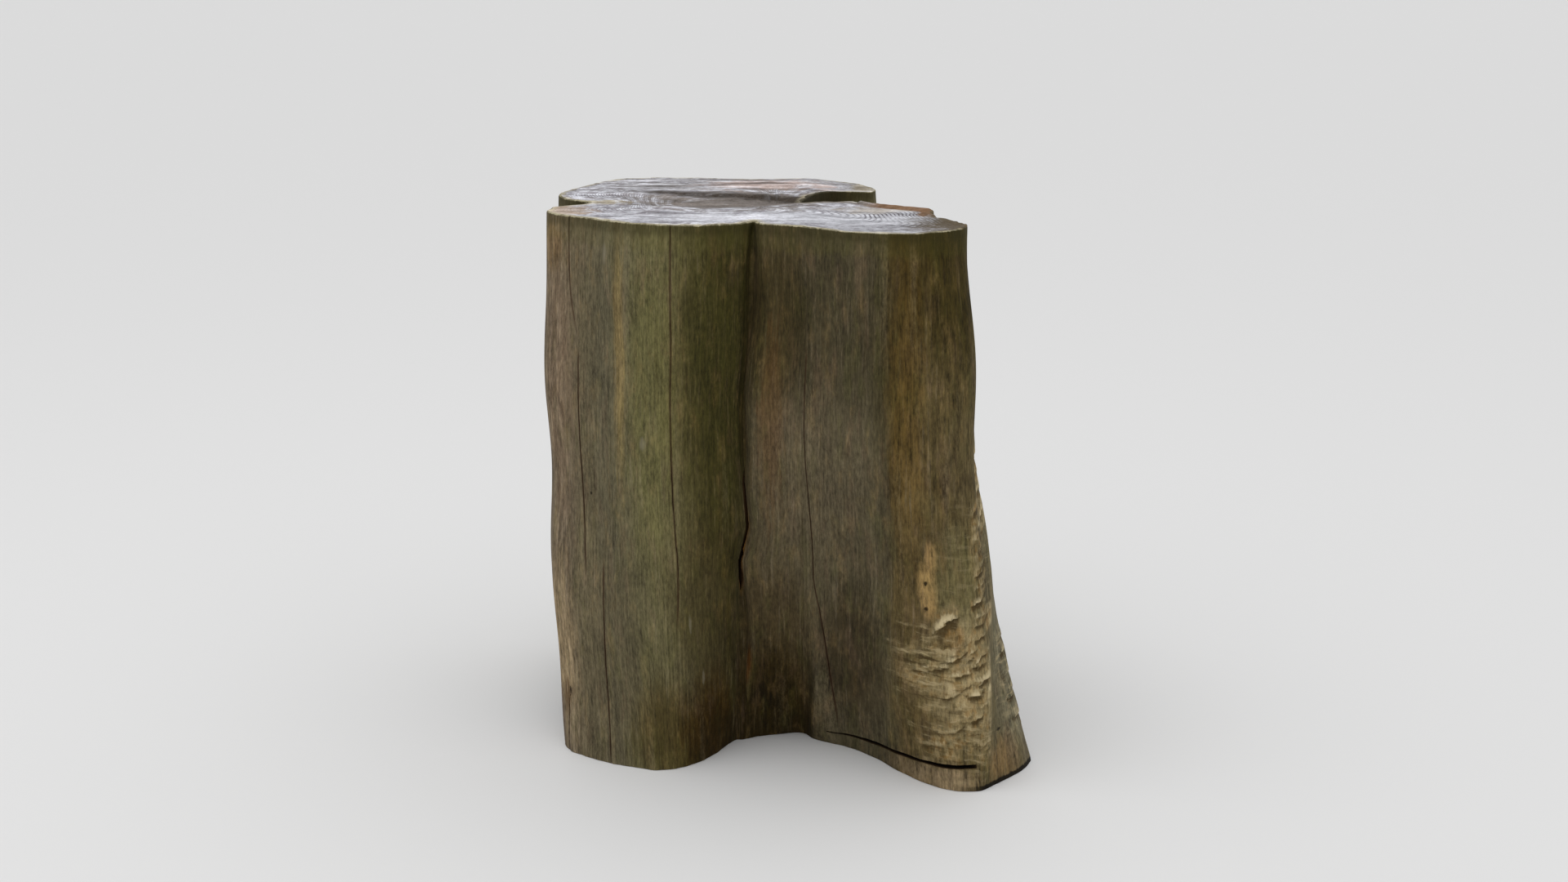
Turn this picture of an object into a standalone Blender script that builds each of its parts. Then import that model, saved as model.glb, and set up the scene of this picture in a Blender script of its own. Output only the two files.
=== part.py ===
"""A barkless, weathered tree stump: a fluted trunk sawn level at both ends, with one root flare trimmed by hatchet.

Metres, +Z up, standing on its sawn base. The origin is the middle of the base's bounding box.
The face with the long seam looks along -Y, and the trimmed root is at its right, towards +X.
"""

import math

import bmesh
import bpy
import numpy as np
from mathutils import Vector
from mathutils.geometry import delaunay_2d_cdt

# Driving dimensions
HEIGHT = 0.62
BELLY = 0.007  # swell of the left side at half height

# Mesh
COLUMNS_PER_LINE = 2
FINE_HEIGHT = 0.24  # below it the rows are close together
FINE_ROWS = 24
COARSE_ROWS = 13
CAP_SPACING = 0.020
CAP_MARGIN = 0.010  # kept clear inside the rim
SHAKE_MARGIN = 0.003
SAME_POINT = 1e-9

# The trunk's outline, anticlockwise from above: (x, y) under the top face, (x, y) on the base, and lateness.
# Each entry is one line of grain, so the lobes keep their places on the way down.
# It spreads as the share of the way down to the power of its lateness: 1 is straight, more stays upright longer.
GRAIN_LINES = [
    # floor and right lip of the front seam
    ((-0.040, -0.158), (-0.056, -0.101), 2.8),
    ((-0.034, -0.179), (-0.048, -0.095), 3.0),
    # hollow between the seam and the right lobe
    ((-0.016, -0.190), (-0.022, -0.083), 3.0),
    ((0.004, -0.203), (0.010, -0.078), 3.0),
    ((0.024, -0.215), (0.028, -0.094), 2.8),
    # right lobe, which spreads into the trimmed root
    ((0.048, -0.227), (0.062, -0.117), 2.4),
    ((0.078, -0.238), (0.094, -0.156), 2.2),
    ((0.106, -0.247), (0.121, -0.203), 2.0),
    ((0.131, -0.249), (0.150, -0.241), 1.6),
    ((0.155, -0.243), (0.180, -0.261), 1.2),
    ((0.173, -0.231), (0.205, -0.262), 1.0),
    ((0.185, -0.212), (0.219, -0.253), 0.9),
    ((0.189, -0.192), (0.238, -0.229), 1.6),
    ((0.187, -0.172), (0.261, -0.197), 1.8),
    ((0.178, -0.150), (0.275, -0.163), 1.8),
    ((0.168, -0.129), (0.268, -0.123), 1.9),
    ((0.157, -0.104), (0.244, -0.086), 2.0),
    ((0.155, -0.076), (0.216, -0.058), 2.2),
    ((0.148, -0.050), (0.188, -0.035), 2.2),
    ((0.126, -0.026), (0.160, -0.014), 2.2),
    ((0.101, -0.003), (0.135, 0.004), 2.2),
    # bay at the right, between the right lobe and the back one
    ((0.084, 0.019), (0.110, 0.022), 2.2),
    ((0.073, 0.038), (0.090, 0.038), 2.2),
    ((0.050, 0.031), (0.068, 0.039), 2.2),
    ((0.028, 0.015), (0.047, 0.033), 2.2),
    ((0.013, 0.002), (0.034, 0.036), 2.2),
    ((0.019, 0.046), (0.044, 0.064), 2.2),
    ((0.030, 0.092), (0.070, 0.098), 2.2),
    ((0.048, 0.125), (0.101, 0.124), 2.2),
    ((0.075, 0.131), (0.136, 0.136), 2.2),
    # back right lobe
    ((0.098, 0.123), (0.166, 0.144), 2.2),
    ((0.106, 0.154), (0.186, 0.174), 2.2),
    ((0.096, 0.196), (0.177, 0.219), 2.2),
    ((0.070, 0.236), (0.140, 0.252), 2.2),
    ((0.034, 0.256), (0.085, 0.263), 2.2),
    # shallow flute at the back
    ((-0.008, 0.249), (0.022, 0.245), 2.2),
    ((-0.050, 0.243), (-0.036, 0.232), 2.2),
    ((-0.100, 0.252), (-0.092, 0.248), 2.2),
    # back left lobe
    ((-0.145, 0.260), (-0.150, 0.264), 2.0),
    ((-0.190, 0.256), (-0.200, 0.259), 2.0),
    ((-0.224, 0.231), (-0.236, 0.233), 2.0),
    ((-0.245, 0.190), (-0.258, 0.195), 2.0),
    ((-0.264, 0.146), (-0.272, 0.146), 2.0),
    ((-0.276, 0.104), (-0.275, 0.100), 2.0),
    ((-0.277, 0.068), (-0.270, 0.058), 2.0),
    ((-0.262, 0.030), (-0.252, 0.020), 2.0),
    # cleft at the left
    ((-0.234, 0.001), (-0.221, -0.006), 2.0),
    ((-0.252, -0.020), (-0.245, -0.034), 2.0),
    ((-0.270, -0.040), (-0.260, -0.062), 2.0),
    # left lobe
    ((-0.274, -0.068), (-0.264, -0.094), 2.0),
    ((-0.264, -0.098), (-0.260, -0.126), 2.0),
    ((-0.239, -0.123), (-0.238, -0.152), 2.0),
    ((-0.212, -0.144), (-0.208, -0.175), 2.2),
    ((-0.184, -0.170), (-0.176, -0.191), 2.2),
    ((-0.152, -0.188), (-0.145, -0.198), 2.2),
    ((-0.118, -0.197), (-0.115, -0.184), 2.2),
    ((-0.084, -0.193), (-0.088, -0.150), 2.4),
    ((-0.060, -0.184), (-0.072, -0.119), 2.6),
    # left lip of the front seam
    ((-0.047, -0.174), (-0.064, -0.104), 2.8),
]

# How far the front seam strays sideways: (height, shift towards +X)
SEAM_STRAY = [
    (0.00, 0.000),
    (0.15, -0.006),
    (0.235, -0.012),
    (0.275, -0.003),
    (0.32, -0.008),
    (0.43, -0.010),
    (0.50, -0.004),
    (0.62, 0.000),
]
SEAM_REACH = 3.0  # grain lines on each side that stray with the seam

# Hatchet work on the root: rows of shallow cuts, each with a ledge over it
TRIM_MIDDLE = 9.2  # counted in grain lines
TRIM_REACH = 3.2
TRIM_FADE = 1.0
TRIM_TOP = 0.200
TRIM_TOP_FADE = 0.05
TRIM_PITCH = 0.030
TRIM_DEPTH = 0.0060
TRIM_SLANT = 0.004  # rise of a row over one grain line
CUT_WIDTH = 1.6
CUT_STAGGER = 0.4  # of the pitch, from one cut to the cut beside it

# Slow swelling of the trunk's surface: waves round it, waves up it and the phase of each
SWELL_HEIGHT = 0.0016
SWELLS = [(5, 3.0, 0.0), (3, -1.8, 1.0)]

# Heart of the top face, sunk by rot, and the shake that runs from the bay across it
HEART = (-0.085, 0.020)
HEART_RADII = (0.110, 0.078)
HEART_DEPTH = 0.004
HEART_STEEPNESS = 1.6  # above 1 the floor is flat and the edge steeper
SHAKE = [(0.008, 0.010), (-0.006, 0.040), (-0.026, 0.062), (-0.068, 0.080), (-0.115, 0.087), (-0.157, 0.097)]
SHAKE_REACH = 0.007
SHAKE_DEPTH = 0.006

# Corner broken out of the top at the right lobe's tip
CHIP = (0.170, -0.160)
CHIP_RADIUS = 0.036
CHIP_DEPTH = 0.007
CHIP_STEEPNESS = 1.5

# Abandoned saw cut low on the root
KERF_ENDS = [(0.052, -0.106, 0.016), (0.206, -0.258, 0.029)]
KERF_WIDTH = 0.0045
KERF_OVERRUN = 0.06  # how far the cutter stands out in front of the line between the ends

# Finish
WOOD_COLOUR = (0.135, 0.113, 0.066, 1.0)
WOOD_ROUGHNESS = 0.85
SHARP_ANGLE = math.radians(35.0)


def clear_scene():
    for item in list(bpy.data.objects):
        bpy.data.objects.remove(item)


def new_collection(name):
    made = bpy.data.collections.new(name)
    bpy.context.scene.collection.children.link(made)
    return made


def smooth_step(x):
    x = np.clip(x, 0.0, 1.0)
    return x * x * (3.0 - 2.0 * x)


def through(points, steps):
    """A closed curve that passes smoothly through the points, with this many steps from each to the next."""
    p = np.asarray(points, float)
    before, after, beyond = np.roll(p, 1, 0), np.roll(p, -1, 0), np.roll(p, -2, 0)
    made = []
    for step in range(steps):
        t = step / steps
        made.append(
            0.5
            * (
                2.0 * p
                + (after - before) * t
                + (2.0 * before - 5.0 * p + 4.0 * after - beyond) * t**2
                + (3.0 * p - before - 3.0 * after + beyond) * t**3
            )
        )
    return np.stack(made, 1).reshape(-1, p.shape[1])


def lines_apart(column, line):
    """How many grain lines lie between, going the shorter way round."""
    count = len(GRAIN_LINES)
    return (column - line + count / 2) % count - count / 2


def seam_shift(column, height):
    heights, shifts = np.transpose(SEAM_STRAY)
    near = smooth_step(1.0 - np.abs(lines_apart(column, 0.0)) / SEAM_REACH)
    return near * np.interp(height, heights, shifts)


def outline(height):
    """The trunk's outline at this height, one point for each column of the mesh."""
    down = 1.0 - height / HEIGHT
    top, base, lateness = (np.array(part) for part in zip(*GRAIN_LINES))
    places = top + (base - top) * (down**lateness)[:, None]
    places[:, 0] += seam_shift(np.arange(len(places)), height)
    leftness = np.clip(places[:, 0] / top[:, 0].min(), 0.0, 1.0)
    places[:, 0] -= BELLY * leftness * math.sin(math.pi * down)
    return through(places, COLUMNS_PER_LINE)


def outward(points):
    """Unit normals of a closed anticlockwise outline."""
    along = np.roll(points, -1, 0) - np.roll(points, 1, 0)
    normal = np.stack([along[:, 1], -along[:, 0]], 1)
    return normal / np.linalg.norm(normal, axis=1, keepdims=True)


def trim_marks(column, height):
    """Cuts of the trimmed root: each bites in under its ledge and runs out at its foot."""
    side = lines_apart(column, TRIM_MIDDLE)
    inside = smooth_step((TRIM_REACH - np.abs(side)) / TRIM_FADE)
    inside = inside * smooth_step((TRIM_TOP - height) / TRIM_TOP_FADE)
    stagger = CUT_STAGGER * np.floor(side / CUT_WIDTH)
    phase = ((height - TRIM_SLANT * side) / TRIM_PITCH + stagger) % 1.0
    return -TRIM_DEPTH * inside * phase


def swelling(column, height):
    turn = 2.0 * math.pi * column / len(GRAIN_LINES)
    rise = 2.0 * math.pi * height / HEIGHT
    return SWELL_HEIGHT * sum(np.sin(around * turn + up * rise + phase) for around, up, phase in SWELLS)


def trunk_row(height):
    """One row of the trunk's side, as (x, y, z) points."""
    edge = outline(height)
    column = np.arange(len(edge)) / COLUMNS_PER_LINE
    relief = trim_marks(column, height) + swelling(column, height)
    placed = edge + outward(edge) * relief[:, None]
    return np.column_stack([placed, np.full(len(placed), height)])


def away_from_line(x, y, line):
    """Distance from (x, y) to a broken line."""
    nearest = np.full(np.shape(x), np.inf)
    for (ax, ay), (bx, by) in zip(line, line[1:]):
        run = np.array([bx - ax, by - ay])
        share = np.clip(((x - ax) * run[0] + (y - ay) * run[1]) / (run @ run), 0.0, 1.0)
        nearest = np.minimum(nearest, np.hypot(x - ax - share * run[0], y - ay - share * run[1]))
    return nearest


def top_relief(x, y):
    """How far the top face lies above its saw cut: never above, and lower where it has rotted or broken."""
    heart = 1.0 - np.hypot((x - HEART[0]) / HEART_RADII[0], (y - HEART[1]) / HEART_RADII[1])
    shake = 1.0 - away_from_line(x, y, SHAKE) / SHAKE_REACH
    chip = 1.0 - np.hypot(x - CHIP[0], y - CHIP[1]) / CHIP_RADIUS
    return -(
        HEART_DEPTH * smooth_step(heart * HEART_STEEPNESS)
        + SHAKE_DEPTH * smooth_step(shake)
        + CHIP_DEPTH * smooth_step(chip * CHIP_STEEPNESS)
    )


def inside_outline(x, y, edge, margin):
    """Whether (x, y) lies inside the closed outline and clear of it by the margin."""
    crossings = 0
    for (ax, ay), (bx, by) in zip(edge, np.roll(edge, -1, 0)):
        if (ay > y) != (by > y) and x < ax + (y - ay) * (bx - ax) / (by - ay):
            crossings += 1
    closed = list(map(tuple, edge)) + [tuple(edge[0])]
    return crossings % 2 == 1 and away_from_line(x, y, closed) > margin


def grid_points(edge):
    """Points of a triangular grid inside the outline and clear of the shake."""
    low, high = edge.min(0), edge.max(0)
    step_y = CAP_SPACING * math.sqrt(3.0) / 2.0
    found = []
    for row in range(int((high[1] - low[1]) / step_y) + 1):
        y = low[1] + row * step_y
        offset = CAP_SPACING / 2.0 * (row % 2)
        for place in range(int((high[0] - low[0]) / CAP_SPACING) + 1):
            x = low[0] + offset + place * CAP_SPACING
            if away_from_line(x, y, SHAKE) < SHAKE_REACH + CAP_MARGIN / 2.0:
                continue
            if inside_outline(x, y, edge, CAP_MARGIN):
                found.append((x, y))
    return found


def shake_points(edge):
    """Points along the floor of the shake and along both of its lips."""
    found = []
    for start, end in zip(SHAKE, SHAKE[1:]):
        run = Vector(end) - Vector(start)
        side = Vector((-run.y, run.x)).normalized() * SHAKE_REACH
        steps = math.ceil(run.length / CAP_MARGIN)
        for step in range(steps):
            middle = Vector(start) + run * step / steps
            found += [tuple(middle - side), tuple(middle), tuple(middle + side)]
    return [p for p in found if inside_outline(*p, edge, SHAKE_MARGIN)]


def add_top(mesh, rim):
    """Fills the rim with triangles that carry the top face's relief."""
    edge = np.array([vert.co[:2] for vert in rim])
    inner = grid_points(edge) + shake_points(edge)
    flat = [Vector(p) for p in edge] + [Vector(p) for p in inner]
    ring = [(k, (k + 1) % len(rim)) for k in range(len(rim))]
    only_inside = 1
    triangles = delaunay_2d_cdt(flat, ring, [], only_inside, SAME_POINT)[2]
    raised = [mesh.verts.new((x, y, HEIGHT + float(top_relief(x, y)))) for x, y in inner]
    verts = list(rim) + raised
    for corners in triangles:
        mesh.faces.new([verts[k] for k in corners])


def add_side(mesh, rows):
    """Joins each row of vertices to the next."""
    for lower, upper in zip(rows, rows[1:]):
        for k in range(len(lower)):
            after = (k + 1) % len(lower)
            mesh.faces.new((lower[k], lower[after], upper[after], upper[k]))


def make_trunk(collection):
    mesh = bmesh.new()
    fine = np.linspace(0.0, FINE_HEIGHT, FINE_ROWS, endpoint=False)
    heights = np.append(fine, np.linspace(FINE_HEIGHT, HEIGHT, COARSE_ROWS + 1))
    rows = [[mesh.verts.new(p) for p in trunk_row(height)] for height in heights]
    for vert in rows[-1]:
        vert.co.z += float(top_relief(vert.co.x, vert.co.y))
    add_side(mesh, rows)
    add_top(mesh, rows[-1])
    mesh.faces.new(list(reversed(rows[0])))
    bmesh.ops.triangulate(mesh, faces=mesh.faces)
    bmesh.ops.recalc_face_normals(mesh, faces=mesh.faces)
    data = bpy.data.meshes.new("stump")
    mesh.to_mesh(data)
    mesh.free()
    trunk = bpy.data.objects.new("stump", data)
    collection.objects.link(trunk)
    return trunk


def make_kerf_cutter(collection):
    """A thin slab, as long as the kerf, whose inner edge is where the saw blade stopped."""
    start, end = (Vector(p) for p in KERF_ENDS)
    along = end - start
    outwards = Vector((along.y, -along.x, 0.0)).normalized()
    bpy.ops.mesh.primitive_cube_add(size=1.0)
    cutter = bpy.context.object
    cutter.name = "kerf_cutter"
    cutter.scale = (along.length, KERF_OVERRUN, KERF_WIDTH)
    cutter.rotation_euler = along.to_track_quat("X", "Z").to_euler()
    cutter.location = (start + end) / 2.0 + outwards * KERF_OVERRUN / 2.0
    bpy.ops.object.transform_apply(location=True, rotation=True, scale=True)
    for owner in cutter.users_collection:
        owner.objects.unlink(cutter)
    collection.objects.link(cutter)
    cutter.hide_render = True
    cutter.display_type = "WIRE"
    return cutter


def cut(piece, cutter):
    saw = piece.modifiers.new(cutter.name, "BOOLEAN")
    saw.operation = "DIFFERENCE"
    saw.object = cutter


def centre_on_base(piece, cutter):
    """Moves both so that the origin is the middle of the trunk's bounding box, seen from above."""
    spots = np.array([vert.co for vert in piece.data.vertices])
    middle = (spots.max(0) + spots.min(0)) / 2.0
    for item in (piece, cutter):
        item.location -= Vector((middle[0], middle[1], 0.0))


def wood_material():
    made = bpy.data.materials.new("weathered_wood")
    made.use_nodes = True
    shader = made.node_tree.nodes["Principled BSDF"]
    shader.inputs["Base Color"].default_value = WOOD_COLOUR
    shader.inputs["Roughness"].default_value = WOOD_ROUGHNESS
    shader.inputs["Metallic"].default_value = 0.0
    return made


def main():
    clear_scene()
    trunk = make_trunk(new_collection("tree_stump"))
    cutter = make_kerf_cutter(new_collection("cutters"))
    cut(trunk, cutter)
    centre_on_base(trunk, cutter)
    trunk.data.materials.append(wood_material())
    trunk.data.shade_smooth()
    trunk.data.set_sharp_from_angle(angle=SHARP_ANGLE)


main()
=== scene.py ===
"""Looks of the tree stump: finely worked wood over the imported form, a pale floor, soft light and the camera.

Metres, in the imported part's frame, with +Z up and the long seam towards -Y.
A place on the side is a line of grain and a height: lines count anticlockwise from the front seam.
"""

import math

import bmesh
import bpy
import numpy as np
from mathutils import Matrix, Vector
from mathutils.bvhtree import BVHTree
from mathutils.geometry import delaunay_2d_cdt
from mathutils.interpolate import poly_3d_calc


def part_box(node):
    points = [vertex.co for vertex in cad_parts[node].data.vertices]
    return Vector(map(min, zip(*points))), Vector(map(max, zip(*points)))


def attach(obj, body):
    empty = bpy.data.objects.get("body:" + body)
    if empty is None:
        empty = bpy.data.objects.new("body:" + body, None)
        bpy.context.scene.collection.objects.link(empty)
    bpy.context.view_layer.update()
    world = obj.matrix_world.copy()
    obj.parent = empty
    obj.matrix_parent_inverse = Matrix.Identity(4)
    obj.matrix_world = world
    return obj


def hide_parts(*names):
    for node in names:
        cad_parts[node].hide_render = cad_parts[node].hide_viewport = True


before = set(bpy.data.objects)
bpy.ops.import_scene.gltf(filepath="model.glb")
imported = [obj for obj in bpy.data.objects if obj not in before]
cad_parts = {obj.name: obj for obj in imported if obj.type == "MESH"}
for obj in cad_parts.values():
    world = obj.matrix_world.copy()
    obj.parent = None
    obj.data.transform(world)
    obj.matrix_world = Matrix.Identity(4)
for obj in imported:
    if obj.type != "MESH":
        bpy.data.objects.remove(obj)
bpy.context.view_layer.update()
LOW, HIGH = (np.array(corner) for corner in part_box("stump"))
HEIGHT = float(HIGH[2])

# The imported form's lines of grain, in mm: x and y at the top, x and y at the base, and how late it spreads
GRAIN_LINES = [
    # floor and right lip of the front seam
    (-40, -158, -56, -101, 2.8),
    (-34, -179, -48, -95, 3.0),
    # hollow between the seam and the right lobe
    (-16, -190, -22, -83, 3.0),
    (4, -203, 10, -78, 3.0),
    (24, -215, 28, -94, 2.8),
    # right lobe, which spreads into the trimmed root
    (48, -227, 62, -117, 2.4),
    (78, -238, 94, -156, 2.2),
    (106, -247, 121, -203, 2.0),
    (131, -249, 150, -241, 1.6),
    (155, -243, 180, -261, 1.2),
    (173, -231, 205, -262, 1.0),
    (185, -212, 219, -253, 0.9),
    (189, -192, 238, -229, 1.6),
    (187, -172, 261, -197, 1.8),
    (178, -150, 275, -163, 1.8),
    (168, -129, 268, -123, 1.9),
    (157, -104, 244, -86, 2.0),
    (155, -76, 216, -58, 2.2),
    (148, -50, 188, -35, 2.2),
    (126, -26, 160, -14, 2.2),
    (101, -3, 135, 4, 2.2),
    # bay at the right, between the right lobe and the back one
    (84, 19, 110, 22, 2.2),
    (73, 38, 90, 38, 2.2),
    (50, 31, 68, 39, 2.2),
    (28, 15, 47, 33, 2.2),
    (13, 2, 34, 36, 2.2),
    (19, 46, 44, 64, 2.2),
    (30, 92, 70, 98, 2.2),
    (48, 125, 101, 124, 2.2),
    (75, 131, 136, 136, 2.2),
    # back right lobe
    (98, 123, 166, 144, 2.2),
    (106, 154, 186, 174, 2.2),
    (96, 196, 177, 219, 2.2),
    (70, 236, 140, 252, 2.2),
    (34, 256, 85, 263, 2.2),
    # shallow flute at the back
    (-8, 249, 22, 245, 2.2),
    (-50, 243, -36, 232, 2.2),
    (-100, 252, -92, 248, 2.2),
    # back left lobe
    (-145, 260, -150, 264, 2.0),
    (-190, 256, -200, 259, 2.0),
    (-224, 231, -236, 233, 2.0),
    (-245, 190, -258, 195, 2.0),
    (-264, 146, -272, 146, 2.0),
    (-276, 104, -275, 100, 2.0),
    (-277, 68, -270, 58, 2.0),
    (-262, 30, -252, 20, 2.0),
    # cleft at the left
    (-234, 1, -221, -6, 2.0),
    (-252, -20, -245, -34, 2.0),
    (-270, -40, -260, -62, 2.0),
    # left lobe
    (-274, -68, -264, -94, 2.0),
    (-264, -98, -260, -126, 2.0),
    (-239, -123, -238, -152, 2.0),
    (-212, -144, -208, -175, 2.2),
    (-184, -170, -176, -191, 2.2),
    (-152, -188, -145, -198, 2.2),
    (-118, -197, -115, -184, 2.2),
    (-84, -193, -88, -150, 2.4),
    (-60, -184, -72, -119, 2.6),
    # left lip of the front seam
    (-47, -174, -64, -104, 2.8),
]
COUNT = len(GRAIN_LINES)
MM_PER_METRE = 1000.0
TO_MIDDLE = np.array([0.0056, -0.0033])  # from the lines' own origin to the middle of the box
BELLY = 0.007
# How far the seam strays sideways, as (height, x)
SEAM_STRAY = [
    *[(0.00, 0.000), (0.15, -0.006), (0.235, -0.012), (0.275, -0.003)],
    *[(0.32, -0.008), (0.43, -0.010), (0.50, -0.004), (0.62, 0.000)],
]
SEAM_REACH = 3.0
SEAM_FOLD = (0.40, 0.30, 0.0110)  # height, half height and how far the floor of the seam swells
SWELL_HEIGHT = 0.0016
SWELLS = [(5, 3.0, 0.0), (3, -1.8, 1.0)]

# Mesh of the side: lines of grain seen from the front carry more columns
FRONT_LINES = (-11, 16)
FRONT_COLUMNS = 9
BACK_COLUMNS = 5
FINE_HEIGHT = 0.26
FINE_STEP = 0.0023
COARSE_STEP = 0.0047
RIM_ROUND = 0.0026
RIM_CURL = 0.4  # most of a corner's own radius that the rounding may take
RIM_STEPS = (0.0036, 0.0022, 0.0012, 0.0005, 0.0)  # below the top face
EDGE_GAP = 0.0003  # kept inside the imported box

# Ridge beside the hewn face, as (height, line of grain) and as (height, rise)
RIDGE = [(-0.01, 11.0), (0.06, 11.05), (0.11, 11.2), (0.15, 11.5), (0.185, 12.0), (0.235, 12.4), (0.42, 12.6)]
RIDGE_RISE = [
    *[(0.0, 0.0), (0.04, 0.002), (0.10, 0.004), (0.20, 0.005)],
    *[(0.30, 0.006), (0.38, 0.003), (0.46, 0.0)],
]
RIDGE_REACH = 1.3
RIDGE_POWER = 1.4
# Low swellings: line, half width in lines, height, half height, rise
BULGES = {
    "flank": (13.8, 1.5, 0.10, 0.08, 0.0035),
    "lip by the bay": (17.8, 1.5, 0.62, 0.20, 0.0060),
    "edge of the hollow": (4.6, 1.2, 0.04, 0.10, 0.0040),
    "floor of the hollow": (3.3, 0.9, 0.04, 0.10, -0.0040),
}

# The root's trimmed side, as (line of grain, half width in lines, lowest, highest, depth)
TRIMMED = (9.2, 3.2, -0.02, 0.200, 0.0015)
# Rows of hatchet cuts: lines low and high, heights, pitch, half width, slant, depth and reach
CUT_ROWS = {
    "up_the_ridge": ((10.3, 11.6), (0.055, 0.350), 0.0135, 0.95, 0.006, 0.0022, 0.015),
    "ridge_top": ((11.9, 12.2), (0.33, 0.44), 0.0165, 0.95, 0.004, 0.0020, 0.017),
    "beside_ridge": ((9.3, 9.9), (0.06, 0.175), 0.0125, 0.80, 0.009, 0.0017, 0.015),
    "middle": ((8.6, 8.8), (0.05, 0.125), 0.0150, 0.85, 0.004, 0.0013, 0.016),
    "lower_marks": ((9.7, 9.9), (0.02, 0.085), 0.0095, 1.30, 0.003, 0.0008, 0.009),
    "left_gouges": ((7.6, 8.0), (0.122, 0.170), 0.0064, 0.65, 0.001, 0.0009, 0.007),
    "flank_scallops": ((13.5, 13.4), (0.04, 0.15), 0.0180, 0.75, -0.002, 0.0017, 0.014),
}
# Single cuts: line, height, half width, slant, bend, depth and reach
CUTS = {
    "notch": (8.95, 0.192, 0.66, 0.018, -0.004, 0.0046, 0.034),
    "long_ledge": (8.35, 0.137, 1.30, 0.008, 0.006, 0.0022, 0.018),
    "under_notch": (9.45, 0.152, 0.60, 0.014, 0.002, 0.0028, 0.020),
}
# Uneven surface of the side: seed, width, length along the grain and height
UNEVEN = [(1, 0.014, 0.30, 0.0008), (2, 0.0075, 0.12, 0.0005), (3, 0.055, 0.11, 0.0012)]
CAVITY_REACH = 4
CAVITY_DEPTH = 0.0013

# Top face
HEART = (-0.085, 0.020)
HEART_RADII = (0.110, 0.078)
HEART_DEPTH = 0.0040
SHAKE = [
    *[(0.008, 0.010), (-0.006, 0.040), (-0.026, 0.062)],
    *[(-0.068, 0.080), (-0.115, 0.087), (-0.157, 0.097)],
]
SHAKE_REACH = 0.007
SHAKE_DEPTH = 0.0045
CHIP = (0.170, -0.160)
CHIP_RADIUS = 0.036
CHIP_DEPTH = 0.004
CHIP_RIM = 0.006
LIP_HEIGHT = 0.0028
LIP_WIDTH = 0.009
LIP_END = -0.112
WORN_DEPTH = 0.0009
FINE_WEAR = 0.0007
# How far the dark band along the shake reaches on the top
SHAKE_DARK_REACH = 0.034
TOP_SPACING = 0.0048
BASE_SPACING = 0.014
PITH = (-0.080, 0.025)
RING_COUNT = 74
SOFT_POWER = 5.0

# Cracks: points as (line of grain, height, share of the opening), widest opening and depth
CRACKS = {
    "crack_long": (
        [
            *[(-4.33, 0.64, 0.8), (-4.30, 0.50, 0.6), (-4.35, 0.42, 0.7)],
            *[(-4.25, 0.29, 0.9), (-4.17, 0.232, 0.8), (-4.25, 0.155, 0.2)],
        ],
        0.0008,
        0.0024,
    ),
    "crack_left": (
        [(-8.17, 0.64, 1), (-8.15, 0.58, 0.8), (-8.10, 0.53, 0.4), (-7.90, 0.50, 0.2), (-7.76, 0.482, 0.1)],
        0.0009,
        0.0034,
    ),
    "crack_left_low": (
        [(-7.75, 0.478, 0.2), (-7.67, 0.368, 1), (-7.58, 0.28, 0.9), (-7.50, 0.212, 0.2)],
        0.0009,
        0.0032,
    ),
    "crack_foot": (
        [(-6.83, 0.240, 0.2), (-6.83, 0.164, 0.9), (-6.92, 0.096, 1), (-6.92, -0.01, 1)],
        0.0010,
        0.0036,
    ),
    "crack_right": (
        [
            *[(3.58, 0.494, 0.1), (3.58, 0.384, 0.8), (3.92, 0.26, 1), (4.00, 0.216, 0.9)],
            *[(4.33, 0.170, 0.8), (4.83, 0.058, 0.6), (4.90, 0.026, 0.3)],
        ],
        0.0008,
        0.0026,
    ),
    "crack_edge": ([(-8.55, 0.068, 0.2), (-8.67, 0.035, 0.8), (-8.75, -0.01, 1)], 0.0030, 0.009),
    "crack_back": ([(-20.3, 0.64, 1), (-20.2, 0.45, 0.7), (-20.35, 0.30, 0.2)], 0.0015, 0.010),
    "crack_back_low": ([(-23.2, 0.30, 0.2), (-23.3, 0.15, 0.8), (-23.2, -0.01, 1)], 0.0015, 0.010),
    "crack_side": ([(17.4, 0.40, 0.2), (17.5, 0.25, 1), (17.3, 0.12, 0.2)], 0.0013, 0.008),
    "seam": (
        [(-0.05, 0.345, 0.1), (0.02, 0.315, 0.6), (0.20, 0.270, 1), (-0.15, 0.225, 1), (-0.1, 0.196, 0.3)],
        0.0041,
        0.010,
    ),
}
KERF_ENDS = [(0.052, -0.106, 0.016), (0.206, -0.258, 0.029)]
KERF_WIDTH = 0.0047
KERF_OVERRUN = 0.06
KERF_STEPS = 14
BLADE_STEP = 0.009
BLADE_OUT = 0.004
CRACK_STEPS = 32

# Camera and light
CAMERA_PLACE = (-0.0021, -2.5149, 0.9254)
CAMERA_PITCH = math.radians(13.2)
LENS = 50.0
SENSOR = 36.0
FLOOR_SIZE = 120.0


def smooth_step(x):
    x = np.clip(x, 0.0, 1.0)
    return x * x * (3.0 - 2.0 * x)


def lines_apart(line, other):
    """How many lines of grain lie between, going the shorter way round."""
    return (line - other + COUNT / 2) % COUNT - COUNT / 2


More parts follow.
